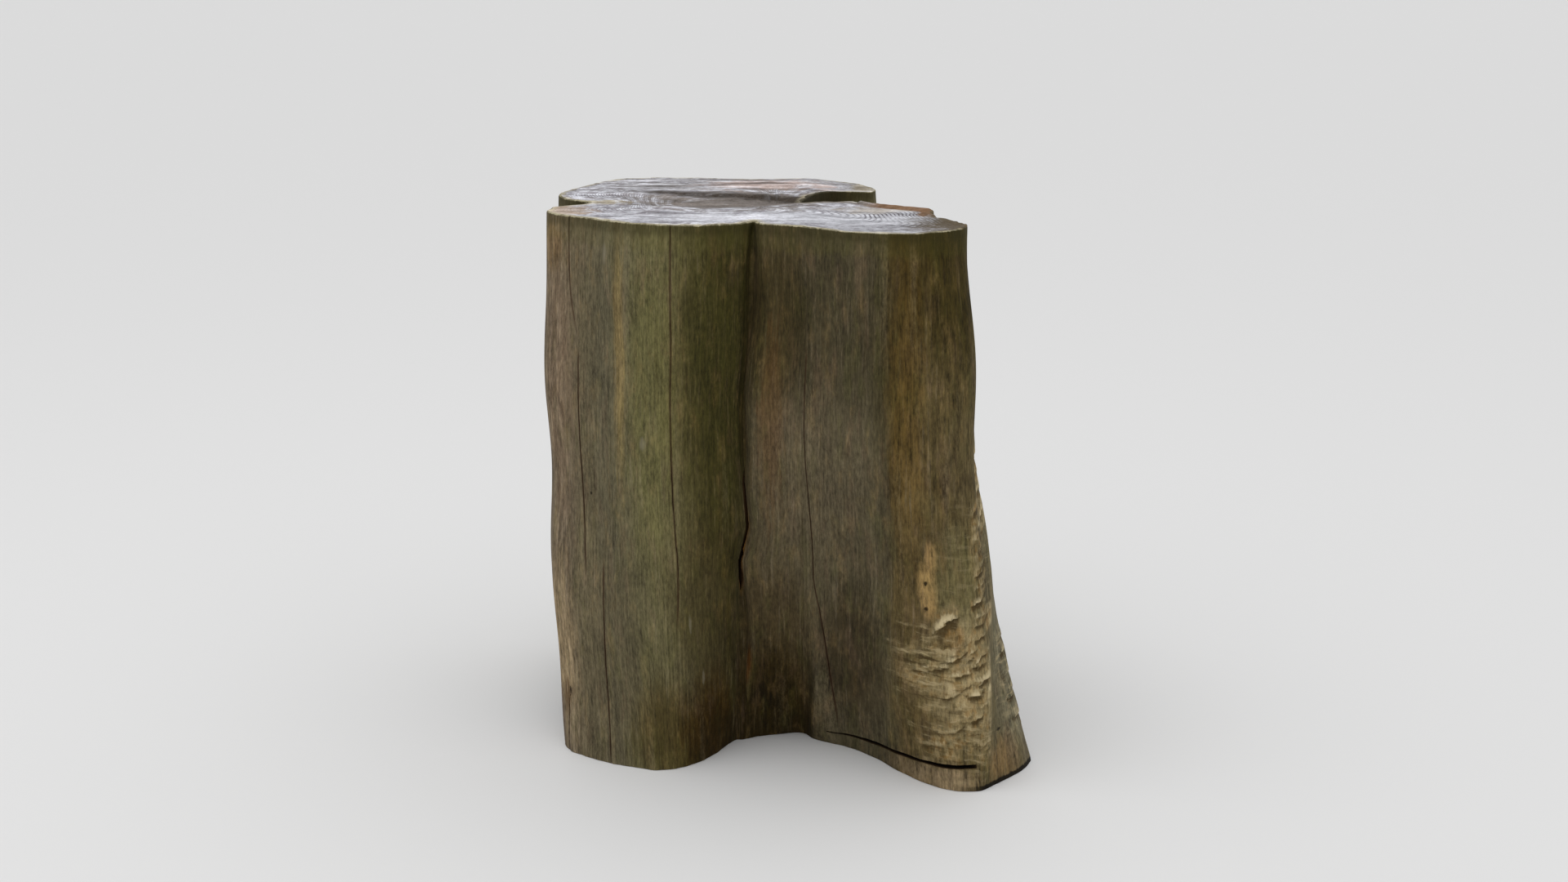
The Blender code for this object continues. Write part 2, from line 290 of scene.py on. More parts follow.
def grain_places(heights):
    """Where each line of grain passes each height, as an array of heights by lines by (x, y)."""
    heights = np.asarray(heights)
    down = np.clip(1.0 - heights / HEIGHT, 0.0, 1.0)[:, None]
    rows = np.array(GRAIN_LINES)
    top, base, lateness = rows[:, :2] / MM_PER_METRE, rows[:, 2:4] / MM_PER_METRE, rows[:, 4]
    places = top + (base - top) * (down**lateness)[:, :, None]
    near = smooth_step(1.0 - np.abs(lines_apart(np.arange(COUNT), 0.0)) / SEAM_REACH)
    stray_heights, strays = np.transpose(SEAM_STRAY)
    places[:, :, 0] += near * np.interp(heights, stray_heights, strays)[:, None]
    middle, reach, fold = SEAM_FOLD
    places[:, 0, 1] -= fold * smooth_step(1.5 - 1.5 * np.abs(heights - middle) / reach)
    leftness = np.clip(places[:, :, 0] / top[:, 0].min(), 0.0, 1.0)
    places[:, :, 0] -= BELLY * leftness * np.sin(math.pi * down)
    return places + TO_MIDDLE


def along_lines(places, line):
    """Reads a smooth curve through the places at fractional lines of grain."""
    first = np.floor(line).astype(int)
    t = (line - first)[:, None]
    p0, p1, p2, p3 = (places[:, (first + k) % COUNT] for k in (-1, 0, 1, 2))
    return 0.5 * (
        2.0 * p1
        + (p2 - p0) * t
        + (2.0 * p0 - 5.0 * p1 + 4.0 * p2 - p3) * t**2
        + (3.0 * p1 - p0 - 3.0 * p2 + p3) * t**3
    )


def outward(points):
    """Unit normals, seen from above, of closed anticlockwise outlines."""
    along = np.roll(points, -1, 1) - np.roll(points, 1, 1)
    normal = np.stack([along[:, :, 1], -along[:, :, 0]], 2)
    return normal / np.linalg.norm(normal, axis=2, keepdims=True)


def tightness(points):
    """How sharply each closed outline bends outwards, as one over its radius."""
    along = np.roll(points, -1, 1) - points
    before = np.roll(along, 1, 1)
    bend = before[:, :, 0] * along[:, :, 1] - before[:, :, 1] * along[:, :, 0]
    lengths = np.linalg.norm(along, axis=2)
    turn = np.arcsin(np.clip(bend / (lengths * np.roll(lengths, 1, 1)), -1.0, 1.0))
    return np.maximum(turn / lengths, 0.0)


def grained(seed, across, up, repeat):
    """Smooth noise from -1 to 1, which repeats across after this many cells."""
    low = int(np.floor(up.min()))
    tall = int(np.ceil(up.max())) - low + 2
    knots = np.random.default_rng(seed).uniform(-1.0, 1.0, (repeat, tall))
    i, j = np.floor(across).astype(int), np.floor(up).astype(int)
    s, t = smooth_step(across - i), smooth_step(up - j)
    i0, i1, j0 = i % repeat, (i + 1) % repeat, j - low
    lower = knots[i0, j0] * (1.0 - s) + knots[i1, j0] * s
    upper = knots[i0, j0 + 1] * (1.0 - s) + knots[i1, j0 + 1] * s
    return lower * (1.0 - t) + upper * t


def within(line, height, area):
    """1 inside a worked area of the side, fading to 0 at its edges."""
    middle, reach, lowest, highest = area[:4]
    beside = smooth_step(reach - np.abs(lines_apart(line, middle)))
    under = smooth_step((highest - height) / 0.05)
    return beside * under * smooth_step((height - lowest) / 0.02)


def all_cuts():
    """Every hatchet cut: line, height, half width, slant, bend, depth and reach."""
    draw = np.random.default_rng(17)
    found = list(CUTS.values())
    for (first, last), (lowest, highest), pitch, wide, slant, depth, reach in CUT_ROWS.values():
        for height in np.arange(lowest, highest, pitch):
            share = (height - lowest) / (highest - lowest)
            a, b, c, d, e = draw.uniform(-1.0, 1.0, 5)
            line = first + (last - first) * share + 0.35 * wide * a
            width = wide * (1.0 + 0.4 * c)
            tilt = slant * (1.0 + 0.9 * d)
            bend = 0.4 * pitch * (e + 0.2)
            found.append((line, height + 0.35 * pitch * b, width, tilt, bend, depth * (1.0 + 0.6 * e), reach))
    return found


def carved(line, height, girth):
    """How deep the hatchet cuts go, and where they are."""
    deepest, hewn = np.zeros(line.shape), np.zeros(line.shape)
    ragged = 0.0018 * grained(18, girth / 0.007, height / 0.05, 997)
    ragged += 0.0030 * grained(19, girth / 0.022, height / 0.03, 499)
    for at_line, at_height, wide, slant, bend, depth, reach in all_cuts():
        side = lines_apart(line, at_line) / wide
        edge = at_height + slant * side * wide + bend * side**2 + ragged
        under = (edge - height) / reach
        across = smooth_step((1.0 - np.abs(side)) * 1.7)
        scoop = depth * across * np.clip(1.0 - under, 0.0, 1.0) ** 1.2 * (under >= 0.0)
        deepest = np.maximum(deepest, scoop)
        worked = smooth_step(2.0 - 2.0 * np.abs(under - 0.2)) * min(1.0, depth / 0.0018)
        hewn = np.maximum(hewn, across * worked)
    return deepest, hewn


def blurred(field, reach):
    """The field averaged over its neighbours, right round the trunk."""
    across = sum(np.roll(field, k, 1) for k in range(-reach, reach + 1)) / (2 * reach + 1)
    padded = np.pad(across, ((reach, reach), (0, 0)), "edge")
    return sum(padded[k : k + len(field)] for k in range(2 * reach + 1)) / (2 * reach + 1)


def swelling(line, height):
    """The low, broad forms that stand out of the smooth trunk."""
    turn = 2.0 * math.pi * line / COUNT
    rise = 2.0 * math.pi * height / HEIGHT
    relief = SWELL_HEIGHT * sum(np.sin(a * turn + u * rise + phase) for a, u, phase in SWELLS)
    from_ridge = np.abs(lines_apart(line, np.interp(height, *np.transpose(RIDGE))))
    beside = np.clip(1.0 - from_ridge / RIDGE_REACH, 0.0, 1.0) ** RIDGE_POWER
    relief += np.interp(height, *np.transpose(RIDGE_RISE)) * beside
    for at_line, wide, at_height, tall, bulge in BULGES.values():
        beside = smooth_step(1.0 - np.abs(lines_apart(line, at_line)) / wide)
        relief += bulge * beside * smooth_step(1.5 - 1.5 * np.abs(height - at_height) / tall)
    return relief


def side_relief(line, height, girth, around):
    """What stands out of or into the smooth trunk, where it is hewn, and its crests and hollows."""
    relief = swelling(line, height)
    depth, hewn = carved(line, height, girth)
    relief -= depth + TRIMMED[4] * within(line, height, TRIMMED)
    for seed, wide, tall, high in UNEVEN:
        cells = max(8, round(around / wide))
        relief += (1.0 - 0.5 * hewn) * high * grained(seed, girth / around * cells, height / tall, cells)
    cavity = np.clip((relief - blurred(relief, CAVITY_REACH)) / CAVITY_DEPTH, -1.0, 1.0)
    return relief, hewn, cavity


def away_from_line(x, y, line):
    """Distance from (x, y) to a broken line."""
    nearest = np.full(np.shape(x), np.inf)
    for (ax, ay), (bx, by) in zip(line, line[1:]):
        run = np.array([bx - ax, by - ay])
        share = np.clip(((x - ax) * run[0] + (y - ay) * run[1]) / (run @ run), 0.0, 1.0)
        nearest = np.minimum(nearest, np.hypot(x - ax - share * run[0], y - ay - share * run[1]))
    return nearest


def top_relief(x, y, edge):
    """How far the top face lies under its saw cut, where edge is the distance to the rim."""
    x, y = x - TO_MIDDLE[0], y - TO_MIDDLE[1]
    wobble = 0.10 * grained(31, (x + 1.0) / 0.03, (y + 1.0) / 0.03, 512)
    heart = 1.0 + wobble - np.hypot((x - HEART[0]) / HEART_RADII[0], (y - HEART[1]) / HEART_RADII[1])
    shake = 1.0 + 2.0 * wobble - away_from_line(x, y, SHAKE) / SHAKE_REACH
    chip = 1.0 + 2.0 * wobble - np.hypot(x - CHIP[0], y - CHIP[1]) / CHIP_RADIUS
    kept_rim = 1.0 - smooth_step(edge / CHIP_RIM)
    lip = smooth_step((LIP_WIDTH - edge) / 0.003) * smooth_step((y - LIP_END) / 0.004) * (y < 0.02)
    beside_lip = smooth_step((x - 0.015) / 0.05) * (1.0 - lip * (x > 0.08))
    beside_lip = beside_lip * (1.0 - 0.6 * smooth_step((LIP_END - y) / 0.02) * smooth_step((x - 0.13) / 0.02))
    worn = 0.5 + 0.5 * grained(32, (x + 1.0) / 0.045, (y + 1.0) / 0.02, 512)
    fine = 0.5 + 0.5 * grained(33, (x + 1.0) / 0.012, (y + 1.0) / 0.009, 512)
    return -(
        HEART_DEPTH * smooth_step(heart * 1.6)
        + SHAKE_DEPTH * smooth_step(shake)
        + CHIP_DEPTH * smooth_step(chip * 1.5) * (1.0 - 0.8 * kept_rim)
        + LIP_HEIGHT * beside_lip
        + WORN_DEPTH * worn
        + FINE_WEAR * fine
    )


def side_columns():
    """Lines of grain that carry the mesh's columns, from the middle of the back round to it again."""
    first = -(COUNT // 2)
    found = []
    for line in range(first, first + COUNT):
        in_front = FRONT_LINES[0] <= line < FRONT_LINES[1]
        per_line = FRONT_COLUMNS if in_front else BACK_COLUMNS
        found += [line + k / per_line for k in range(per_line)]
    return np.array(found)


def side_heights():
    fine = np.arange(0.0, FINE_HEIGHT, FINE_STEP)
    coarse = np.linspace(FINE_HEIGHT, HEIGHT - RIM_STEPS[0], round((HEIGHT - FINE_HEIGHT) / COARSE_STEP))
    return np.concatenate([fine, coarse, [HEIGHT - step for step in RIM_STEPS[1:]]])


def inside_outline(spots, edge):
    """Which of the spots lie inside the closed outline."""
    ahead = np.roll(edge, -1, 0)
    x, y = spots[:, :1], spots[:, 1:]
    crosses = (edge[:, 1] > y) != (ahead[:, 1] > y)
    slope = (ahead[:, 0] - edge[:, 0]) / np.where(ahead[:, 1] == edge[:, 1], 1.0, ahead[:, 1] - edge[:, 1])
    return (crosses & (x < edge[:, 0] + (y - edge[:, 1]) * slope)).sum(1) % 2 == 1


def edge_distance(spots, edge):
    """Distance from each spot to the nearest point of the outline."""
    nearest = np.full(len(spots), np.inf)
    for start in range(0, len(edge), 64):
        gaps = np.linalg.norm(spots[:, None] - edge[None, start : start + 64], axis=2)
        nearest = np.minimum(nearest, gaps.min(1))
    return nearest


def end_grid(edge, spacing, seed):
    """Slightly shaken triangular grid inside an outline."""
    low, high = edge.min(0), edge.max(0)
    rows = np.arange(low[1], high[1], spacing * math.sqrt(3.0) / 2.0)
    shifts = (np.arange(len(rows)) % 2) * spacing / 2.0
    across = np.arange(low[0], high[0], spacing)
    spots = np.array([(x + shift, y) for y, shift in zip(rows, shifts) for x in across])
    spots += np.random.default_rng(seed).uniform(-0.12, 0.12, spots.shape) * spacing
    spots = spots[inside_outline(spots, edge)]
    return spots[edge_distance(spots, edge) > 0.55 * spacing]


def ring_number(spots, edge):
    """Which annual ring passes each spot: round at the pith, and of the outline's own shape at the rim."""
    apart = np.zeros(len(spots))
    steps = np.linalg.norm(np.roll(edge, -1, 0) - edge, axis=1)
    for start in range(0, len(edge), 64):
        gaps = np.linalg.norm(spots[:, None] - edge[None, start : start + 64], axis=2)
        apart += (steps[start : start + 64] * np.maximum(gaps, 0.0008) ** -SOFT_POWER).sum(1)
    to_edge = apart ** (-1.0 / (SOFT_POWER - 1.0)) * 0.95
    to_pith = np.linalg.norm(spots - np.array(PITH) - TO_MIDDLE, axis=1)
    return RING_COUNT * to_pith / (to_pith + to_edge)


class Wood:
    """The stump's mesh while it is made: corners, faces and what the finish reads at each corner."""

    def __init__(self):
        self.corners = []
        self.faces = []
        self.zones = []
        self.notes = []  # grain x, grain y, height, line, ring, edge, hewn, cavity, shake

    def add_corners(self, corners, notes):
        first = sum(len(part) for part in self.corners)
        self.corners.append(corners)
        self.notes.append(notes)
        return first

    def add_faces(self, faces, zone):
        self.faces += faces
        self.zones += [zone] * len(faces)


def add_side(wood):
    """The trunk's side, from the base to the rim; returns the two end outlines."""
    line, height = side_columns(), side_heights()
    smooth = along_lines(grain_places(height), line)
    top = smooth[-1]
    runs = np.linalg.norm(np.roll(top, -1, 0) - top, axis=1)
    girth, around = np.cumsum(runs) - runs, runs.sum()
    lines, heights = np.meshgrid(line, height)
    girths = np.broadcast_to(girth, lines.shape)
    relief, hewn, cavity = side_relief(lines, heights, girths, around)
    below = np.clip((heights - HEIGHT + RIM_ROUND) / RIM_ROUND, 0.0, 1.0)
    ragged = RIM_ROUND * (1.1 + 0.9 * grained(5, girths / around * 260, heights * 0.0, 260))
    ragged = np.minimum(ragged, RIM_CURL / np.maximum(tightness(smooth), 1.0))
    relief -= ragged * (1.0 - np.sqrt(1.0 - below**2 * 0.98))
    placed = smooth + outward(smooth) * relief[:, :, None]
    placed[:, :, 0] = np.clip(placed[:, :, 0], LOW[0] + EDGE_GAP, HIGH[0] - EDGE_GAP)
    placed[:, :, 1] = np.clip(placed[:, :, 1], LOW[1] + EDGE_GAP, HIGH[1] - EDGE_GAP)
    rim = placed[-1]
    drop = np.zeros(lines.shape)
    drop[-1] = top_relief(rim[:, 0], rim[:, 1], np.zeros(len(rim)))
    drop[-len(RIM_STEPS) - 6 :] = drop[-1] * np.linspace(0.0, 1.0, len(RIM_STEPS) + 6)[:, None]
    grain = np.broadcast_to(top, placed.shape)
    corners = np.dstack([placed, heights + drop]).reshape(-1, 3)
    ends = np.zeros(lines.shape)
    notes = [grain[:, :, 0], grain[:, :, 1], heights, lines, ends + RING_COUNT, ends, hewn, cavity, ends]
    first = wood.add_corners(corners, np.stack([part.ravel() for part in notes], 1))
    rows, columns = lines.shape
    k = np.arange(columns)
    after = (k + 1) % columns
    for row in range(rows - 1):
        low, up = first + row * columns, first + (row + 1) * columns
        wood.add_faces(np.stack([low + k, low + after, up + after, up + k], 1).tolist(), 0)
    return placed[0], rim, line


def add_end(wood, edge, line, first, zone, spacing):
    """Fills an end outline, whose corners start at first, with the end grain's face."""
    inner = end_grid(edge, spacing, 7)
    flat = [Vector(p) for p in edge] + [Vector(p) for p in inner]
    ring = [(k, (k + 1) % len(edge)) for k in range(len(edge))]
    triangles = delaunay_2d_cdt(flat, ring, [], 1, 1e-9)[2]
    away = edge_distance(inner, edge)
    up = HEIGHT + top_relief(inner[:, 0], inner[:, 1], away) if zone > 0 else np.zeros(len(inner))
    level = np.full(len(inner), HEIGHT if zone > 0 else 0.0)
    none = np.zeros(len(inner))
    x, y = inner[:, 0], inner[:, 1]
    shake = 1.0 - away_from_line(x - TO_MIDDLE[0], y - TO_MIDDLE[1], SHAKE) / SHAKE_DARK_REACH
    notes = [x, y, level, none, ring_number(inner, edge), away, none, none, np.clip(shake, 0.0, 1.0)]
    notes = np.stack(notes, 1)
    start = wood.add_corners(np.column_stack([inner, up]), notes)
    names = [first + k for k in range(len(edge))] + [start + k for k in range(len(inner))]
    faces = [[names[k] for k in corners] for corners in triangles]
    wood.add_faces(faces if zone > 0 else [face[::-1] for face in faces], zone)


def side_frame(line, height):
    """A place on the side with its outward and sideways directions."""
    lines = np.array([line - 0.15, line, line + 0.15])
    before, place, after = along_lines(grain_places([height]), lines)[0]
    sideways = (after - before) / np.linalg.norm(after - before)
    out = np.array([sideways[1], -sideways[0]])
    return place + out * swelling(line, height), out, sideways


def smooth_path(points):
    """Places along a path at even steps, read from a smooth curve through its points."""
    p = np.array([points[0], *points, points[-1]], float)
    found = []
    for k in range(1, len(p) - 2):
        steps = max(2, round(abs(p[k + 1, 1] - p[k, 1]) / BLADE_STEP))
        for t in np.arange(steps) / steps:
            p0, p1, p2, p3 = p[k - 1 : k + 3]
            bend = (2.0 * p0 - 5.0 * p1 + 4.0 * p2 - p3) * t**2 + (3.0 * p1 - p0 - 3.0 * p2 + p3) * t**3
            found.append(0.5 * (2.0 * p1 + (p2 - p0) * t + bend))
    return np.array(found + [p[-1]])


def make_blade(name, points, width, depth, seed):
    """A wedge that follows the side and opens it, as wide and deep at each point as its share says."""
    path = smooth_path(points)
    shake = np.random.default_rng(seed).uniform(-1.0, 1.0, (len(path), 2))
    corners = []
    for (line, height, share), (wide, aside) in zip(path, shake):
        place, out, sideways = side_frame(line, height)
        share = max(share, 0.1)
        half = 0.5 * width * share * (1.0 + 0.3 * wide)
        bottom = depth * (0.2 + 0.8 * share)
        flare = (bottom + BLADE_OUT) / bottom
        middle = place + sideways * (0.0003 + 0.12 * width) * aside
        for reach, spread in ((BLADE_OUT, -flare), (BLADE_OUT, flare), (-bottom, 0.25), (-bottom, -0.25)):
            corners.append((*(middle + out * reach + sideways * half * spread), height))
    faces = [[0, 1, 2, 3]]
    for k in range(len(path) - 1):
        a, b = 4 * k, 4 * k + 4
        faces += [[a + i, b + i, b + (i + 1) % 4, a + (i + 1) % 4] for i in range(4)]
    faces.append([4 * len(path) - 1 - i for i in range(4)])
    return make_object(name, corners, faces)


def make_kerf_blade():
    """A thin slab with uneven faces that starts as a scratch."""
    start, end = (np.add(p, (*TO_MIDDLE, 0.0)) for p in KERF_ENDS)
    out = np.array([end[1] - start[1], start[0] - end[0], 0.0])
    out *= KERF_OVERRUN / np.linalg.norm(out)
    uneven = np.random.default_rng(23).uniform(-1.0, 1.0, (KERF_STEPS + 1, 2))
    corners = []
    for share, (wide, drift) in zip(np.linspace(0.0, 1.0, KERF_STEPS + 1), uneven):
        half = 0.5 * KERF_WIDTH * (0.35 + 0.65 * smooth_step(share / 0.35)) * (1.0 + 0.16 * wide)
        middle = start + share * (end - start) + np.array([0.0, 0.0, 0.0004 * drift])
        lift = np.array([0.0, 0.0, half])
        corners += [tuple(middle + a) for a in (-lift, out - lift, out + lift, lift)]
    faces = [[0, 1, 2, 3]]
    for k in range(0, 4 * KERF_STEPS, 4):
        faces += [[k + i, k + 4 + i, k + 4 + (i + 1) % 4, k + (i + 1) % 4] for i in range(4)]
    faces.append([4 * KERF_STEPS + 3 - i for i in range(4)])
    return make_object("kerf_blade", corners, faces)


def make_object(name, corners, faces):
    data = bpy.data.meshes.new(name)
    data.from_pydata([tuple(corner) for corner in corners], [], faces)
    data.update()
    made = bpy.data.objects.new(name, data)
    bpy.context.scene.collection.objects.link(made)
    return made


def face_outwards(piece):
    """Makes every face of a closed piece look outwards."""
    mesh = bmesh.new()
    mesh.from_mesh(piece.data)
    bmesh.ops.recalc_face_normals(mesh, faces=mesh.faces)
    mesh.to_mesh(piece.data)
    mesh.free()


def cut_with(piece, blades):
    """Cuts the blades out of the piece and deletes them."""
    for blade in blades:
        face_outwards(blade)
        saw = piece.modifiers.new(blade.name, "BOOLEAN")
        saw.operation = "DIFFERENCE"
        saw.solver = "MANIFOLD"
        saw.object = blade
    graph = bpy.context.evaluated_depsgraph_get()
    data = bpy.data.meshes.new_from_object(piece.evaluated_get(graph))
    piece.modifiers.clear()
    piece.data = data
    for blade in blades:
        bpy.data.objects.remove(blade)


def write_notes(piece, wood):
    """Gives each corner of the cut piece what the uncut wood has nearest to it, and its depth under that."""
    corners = np.concatenate(wood.corners)
    notes = np.concatenate(wood.notes)
    spots = [Vector(corner) for corner in corners]
    tree = BVHTree.FromPolygons(spots, wood.faces)
    data = piece.data
    found = np.zeros((len(data.vertices), notes.shape[1]))
    deep = np.zeros(len(data.vertices))
    for k, vertex in enumerate(data.vertices):
        place, _, face, away = tree.find_nearest(vertex.co)
        names = wood.faces[face]
        weights = poly_3d_calc([spots[i] for i in names], place)
        found[k] = np.array(weights) @ notes[names]
        deep[k] = away
    zones = [wood.zones[tree.find_nearest(polygon.center)[2]] for polygon in data.polygons]
    loop_vertex = np.zeros(len(data.loops), int)
    data.loops.foreach_get("vertex_index", loop_vertex)
    counts = np.array([polygon.loop_total for polygon in data.polygons])
    zone = np.repeat(zones, counts)
    line = found[loop_vertex, 3]
    starts = np.cumsum(counts) - counts
    wraps = np.maximum.reduceat(line, starts) - np.minimum.reduceat(line, starts) > COUNT / 2
    line = line + COUNT * (np.repeat(wraps, counts) & (line < 0.0))
    per_loop = found[loop_vertex]
    write_attribute(data, "grain", per_loop[:, :3])
    write_attribute(data, "place", np.column_stack([line, per_loop[:, 4], zone]))
    write_attribute(data, "marks", per_loop[:, 5:8])
    write_attribute(data, "depths", np.column_stack([deep[loop_vertex], per_loop[:, 8], zone]))


def write_attribute(data, name, values):
    made = data.attributes.new(name, "FLOAT_VECTOR", "CORNER")
    made.data.foreach_set("vector", np.ascontiguousarray(values, np.float32).ravel())


def make_stump():
    wood = Wood()
    base, rim, line = add_side(wood)
    rows = len(side_heights())
    add_end(wood, rim, line, (rows - 1) * len(line), 1, TOP_SPACING)
    add_end(wood, base, line, 0, -1, BASE_SPACING)
    stump = make_object("weathered_stump", np.concatenate(wood.corners), wood.faces)
    blades = [make_blade(name, *shape, 50 + k) for k, (name, shape) in enumerate(CRACKS.items())]
    blades.append(make_kerf_blade())
    cut_with(stump, blades)
    write_notes(stump, wood)
    stump.data.materials.clear()
    stump.data.materials.append(weathered_wood())
    stump.data.polygons.foreach_set("material_index", np.zeros(len(stump.data.polygons), np.int32))
    stump.data.shade_smooth()
    stump.data.set_sharp_from_angle(angle=math.radians(50.0))
    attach(stump, "root")
    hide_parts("stump")


def paint(red, green, blue):
    """A colour as a screen shows it, 0 to 255, turned into light."""
    light = [((c / 255 + 0.055) / 1.055) ** 2.4 if c > 10 else c / 3295 for c in (red, green, blue)]
    return (*light, 1.0)


def paint_share(left):
    """A multiplier that dims and warms: this share of the light is left."""
    return (left, left * 0.96, left * 0.74, 1.0)


class Value:
    """A node's output; arithmetic on it adds Math nodes."""

    def __init__(self, finish, socket):
        self.finish = finish
        self.socket = socket

    def math(self, operation, *others):
        return self.finish.node("ShaderNodeMath", {"operation": operation}, dict(enumerate((self, *others))))

    def __add__(self, other):
        return self.math("ADD", other)

    __radd__ = __add__

    def __sub__(self, other):
        return self.math("SUBTRACT", other)

    def __rsub__(self, other):
        return self.finish.node("ShaderNodeMath", {"operation": "SUBTRACT"}, {0: other, 1: self})

    def __mul__(self, other):
        return self.math("MULTIPLY", other)

    __rmul__ = __mul__

    def __truediv__(self, other):
        return self.math("DIVIDE", other)

    def __pow__(self, other):
        return self.math("POWER", other)


class Finish:
    """A material under construction."""

    def __init__(self, name):
        self.material = bpy.data.materials.new(name)
        self.material.use_nodes = True
        self.tree = self.material.node_tree
        self.shader = self.tree.nodes["Principled BSDF"]

    def set(self, node, name, value):
        if isinstance(value, Value):
            self.tree.links.new(value.socket, node.inputs[name])
        else:
            node.inputs[name].default_value = value

    def node(self, kind, settings, sockets, output=0):
        """Any node: its type, its settings, then the values or links of its sockets."""
        made = self.tree.nodes.new(kind)
        for name, value in settings.items():
            if name == "stops":
                self.set_stops(made.color_ramp.elements, sorted(value))
            elif name == "curve":
                self.set_curve(made.mapping, value)
            else:
                setattr(made, name, value)
        for name, value in sockets.items():
            self.set(made, name, value)
        return Value(self, made.outputs[output])

    def set_stops(self, bands, stops):
        for place, _ in stops[1:-1]:
            bands.new(place)
        for band, (place, colour) in zip(bands, stops):
            band.position = place
            band.color = colour

    def set_curve(self, mapping, points):
        curve = mapping.curves[0].points
        for place, value in points[1:-1]:
            curve.new(place, value)
        for point, (place, value) in zip(curve, points):
            point.location = (place, value)
            point.handle_type = "VECTOR"
        mapping.update()

    def attribute(self, name):
        return self.node("ShaderNodeAttribute", {"attribute_name": name}, {}, "Vector")

    def part(self, vector, axis):
        return self.node("ShaderNodeSeparateXYZ", {}, {0: vector}, axis)

    def stretched(self, vector, amounts):
        return self.node("ShaderNodeVectorMath", {"operation": "MULTIPLY"}, {0: vector, 1: amounts})

    def noise(self, vector, scale, detail=3.0, roughness=0.55):
        sockets = {"Vector": vector, "Scale": scale, "Detail": detail, "Roughness": roughness}
        return self.node("ShaderNodeTexNoise", {}, sockets)

    def between(self, value, low, high):
        """0 up to low, 1 from high, smooth in between; low may be the greater."""
        sockets = {"Value": value, "From Min": low, "From Max": high}
        return self.node("ShaderNodeMapRange", {"interpolation_type": "SMOOTHSTEP"}, sockets)

    def mix(self, share, first, second, blend="MIX"):
        settings = {"data_type": "RGBA", "blend_type": blend}
        return self.node("ShaderNodeMix", settings, {"Factor": share, 6: first, 7: second}, 2)

    def over(self, colour, share, tint):
        """A tint, as paint takes it, laid over the colour."""
        return self.mix(share, colour, paint(*tint))

    def washed(self, colour, rows):
        """Tints over the colour, each where a value goes from low to high: value, low, high, share, tint."""
        for value, low, high, share, tint in rows:
            colour = self.over(colour, self.between(value, low, high) * share, tint)
        return colour

    def span(self, value, start, full, fade, end):
        """0 up to start, 1 from full to fade, 0 from end."""
        return self.between(value, start, full) * self.between(value, end, fade)

    def combined(self, x, y, z=0.0):
        return self.node("ShaderNodeCombineXYZ", {}, {0: x, 1: y, 2: z})

    def drawn(self, grain, lengthwise, scale, detail, roughness):
        """Noise that is drawn out along the grain."""
        return self.noise(self.stretched(grain, (1.0, 1.0, lengthwise)), scale, detail, roughness)

    def ovals(self, vector, rows, edge_noise):
        """Each row's oval patch, with what the row holds beyond its place and reach."""
        for x, y, wide, tall, *rest in rows:
            yield self.patch(vector, (x, y), (wide, tall), edge_noise), rest

    def tinted(self, colour, amount):
        """The colour times a number."""
        return self.node("ShaderNodeVectorMath", {"operation": "SCALE"}, {0: colour, "Scale": amount})

    def patch(self, vector, centre, reach, edge_noise):
        """1 in the middle of an oval patch, 0 outside it, with a broken edge."""
        shifted = self.node("ShaderNodeVectorMath", {"operation": "SUBTRACT"}, {0: vector, 1: (*centre, 0.0)})
        scaled = self.stretched(shifted, (1.0 / reach[0], 1.0 / reach[1], 0.0))
        far = self.node("ShaderNodeVectorMath", {"operation": "LENGTH"}, {0: scaled}, "Value")
        return self.between(far + edge_noise, 1.0, 0.35)


# Colours round the side, by line of grain; darker at the cleft, the seam and round the bay, partly painted
# shade of those recesses
SIDE_COLOURS = [
    (-29.5, (84, 77, 56)),
    (-25.0, (78, 72, 50)),
    (-20.0, (92, 84, 62)),
    (-16.0, (84, 78, 54)),
    (-13.0, (58, 51, 34)),
    (-12.0, (62, 54, 38)),
    (-10.0, (103, 90, 73)),
    (-8.6, (101, 89, 72)),
    (-7.6, (99, 90, 68)),
    (-6.6, (92, 86, 66)),
    (-5.6, (96, 90, 64)),
    (-4.4, (98, 92, 62)),
    (-3.6, (86, 80, 52)),
    (-2.8, (74, 68, 40)),
    (-1.6, (66, 60, 34)),
    (-0.6, (62, 56, 32)),
    (0.0, (60, 52, 30)),
    (0.8, (74, 66, 46)),
    (2.5, (80, 71, 51)),
    (5.0, (80, 73, 54)),
    (6.7, (76, 69, 50)),
    (7.1, (86, 73, 44)),
    (8.5, (82, 70, 42)),
    (10.5, (76, 66, 38)),
    (12.0, (92, 84, 60)),
    (15.0, (94, 86, 64)),
    (19.0, (82, 75, 54)),
    (22.0, (60, 54, 34)),
    (26.0, (50, 45, 27)),
    (28.0, (56, 50, 31)),
    (29.5, (84, 77, 56)),
]

